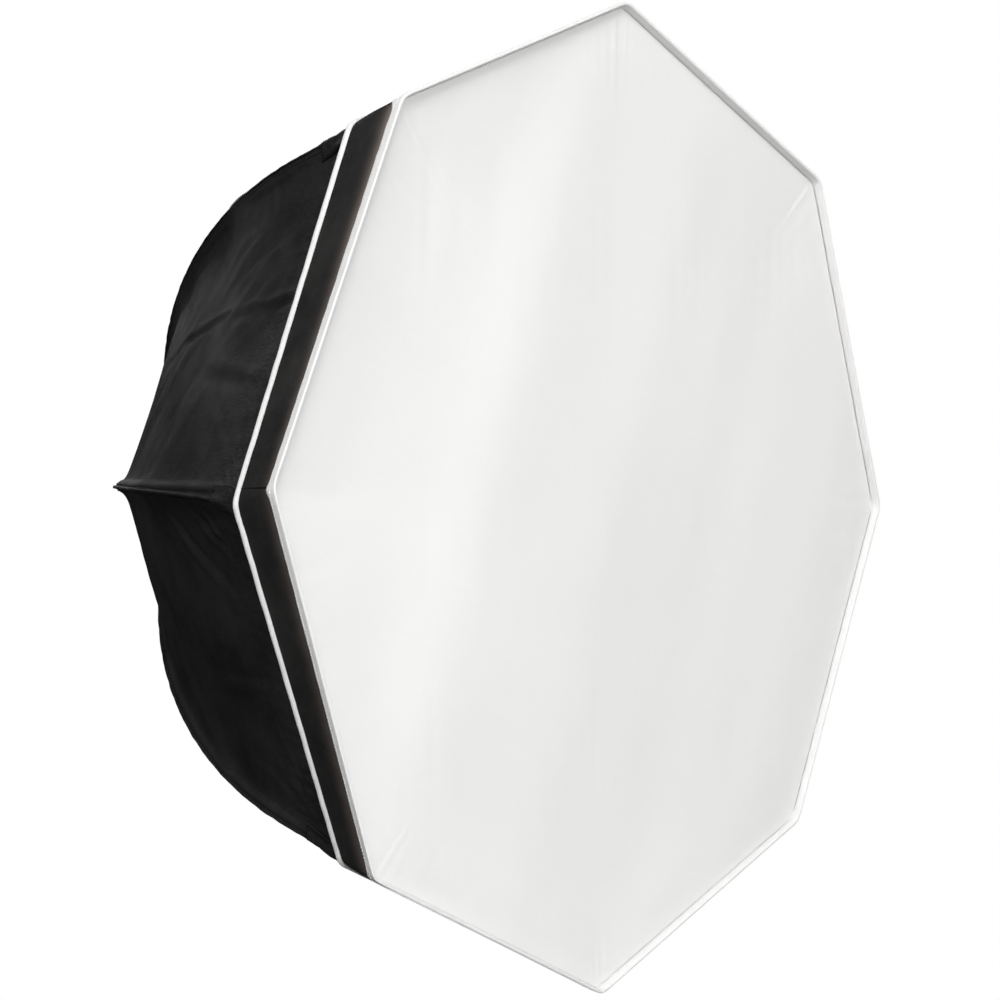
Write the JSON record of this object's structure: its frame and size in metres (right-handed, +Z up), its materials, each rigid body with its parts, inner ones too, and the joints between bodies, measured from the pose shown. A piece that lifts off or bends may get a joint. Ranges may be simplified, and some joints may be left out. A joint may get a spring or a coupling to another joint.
{
  "type": "studio softbox",
  "caption": "Octagonal studio softbox with a lipped fabric shell on flexible rods, removable white diffusers and a rotating bayonet speed ring.",
  "frame": {"origin": "on the optical axis, at the rear seating face of the bayonet insert", "axes": "+Y along the optical axis towards the lamp, so the light leaves towards -Y; +Z up, through a corner of the octagon; +X to the right of someone who looks along +Y at the front diffuser"},
  "size_m": [0.9522, 0.5965, 0.9522],
  "materials": {
    "shell_fabric": "black plain-weave nylon with a silver lining",
    "black_webbing": "black woven tape",
    "white_tape": "white woven tape",
    "diffusion_cloth": "translucent white nylon",
    "black_alloy": "black powder coat",
    "cast_alloy": "machined casting",
    "bright_steel": "zinc plated",
    "dark_steel": "blackened spring steel",
    "nylon": "natural nylon",
    "black_plastic": "moulded, fine texture",
    "brass_pad": "turned"
  },
  "bodies": {
    "lamp_side": {"bayonet_insert": "cast_alloy", "retaining_ring": "cast_alloy", "retaining_screws": "bright_steel"},
    "softbox": {"speed_ring": "black_alloy", "glide_ring": "nylon", "rod_sockets": "bright_steel", "socket_screws": "dark_steel", "rod_1": "dark_steel", "rod_2": "dark_steel", "rod_3": "dark_steel", "rod_4": "dark_steel", "rod_5": "dark_steel", "rod_6": "dark_steel", "rod_7": "dark_steel", "rod_8": "dark_steel", "rod_tips": "nylon", "rod_pockets": "black_webbing", "shell_panel_1": "shell_fabric", "shell_panel_2": "shell_fabric", "shell_panel_3": "shell_fabric", "shell_panel_4": "shell_fabric", "shell_panel_5": "shell_fabric", "shell_panel_6": "shell_fabric", "shell_panel_7": "shell_fabric", "shell_panel_8": "shell_fabric", "seam_tapes": "black_webbing", "corner_patches": "black_webbing", "rear_collar": "shell_fabric", "collar_strap": "black_webbing", "rim_piping": "white_tape", "front_lip": "shell_fabric", "front_binding": "white_tape", "lip_hook_tape": "white_tape"},
    "diffuser": {"front_diffuser": "diffusion_cloth", "diffuser_loop_tape": "white_tape"},
    "baffle": {"inner_baffle": "diffusion_cloth", "baffle_binding": "white_tape", "baffle_straps": "white_tape", "baffle_hooks": "black_plastic"},
    "lock_slider": {"lock_pad": "brass_pad"},
    "lock": {"lock_screw": "bright_steel", "lock_knob": "black_plastic"}
  },
  "joints": [
    {"name": "ring_turn", "type": "hinge", "parent": "lamp_side", "child": "softbox", "pos_m": [0, 0, 0], "axis": [0, -1, 0], "continuous": true},
    {"name": "front_diffuser_off", "type": "slide", "parent": "softbox", "child": "diffuser", "axis": [0, -1, 0], "range_m": [0, 0.6]},
    {"name": "inner_baffle_off", "type": "slide", "parent": "softbox", "child": "baffle", "axis": [0, -1, 0], "range_m": [0, 0.3]},
    {"name": "lock_screw_travel", "type": "slide", "parent": "softbox", "child": "lock_slider", "axis": [0.3827, 0, -0.9239], "range_m": [0, 0.003]},
    {"name": "lock_knob_turn", "type": "hinge", "parent": "lock_slider", "child": "lock", "pos_m": [0.03827, -0.011, -0.09239], "axis": [0.3827, 0, -0.9239], "range_deg": [0, 720]}
  ],
  "couplings": [
    {"joint": "inner_baffle_off", "follows": "front_diffuser_off", "ratio": 0.5},
    {"joint": "lock_screw_travel", "follows": "lock_knob_turn", "m_per_rad": 0.00015915}
  ]
}
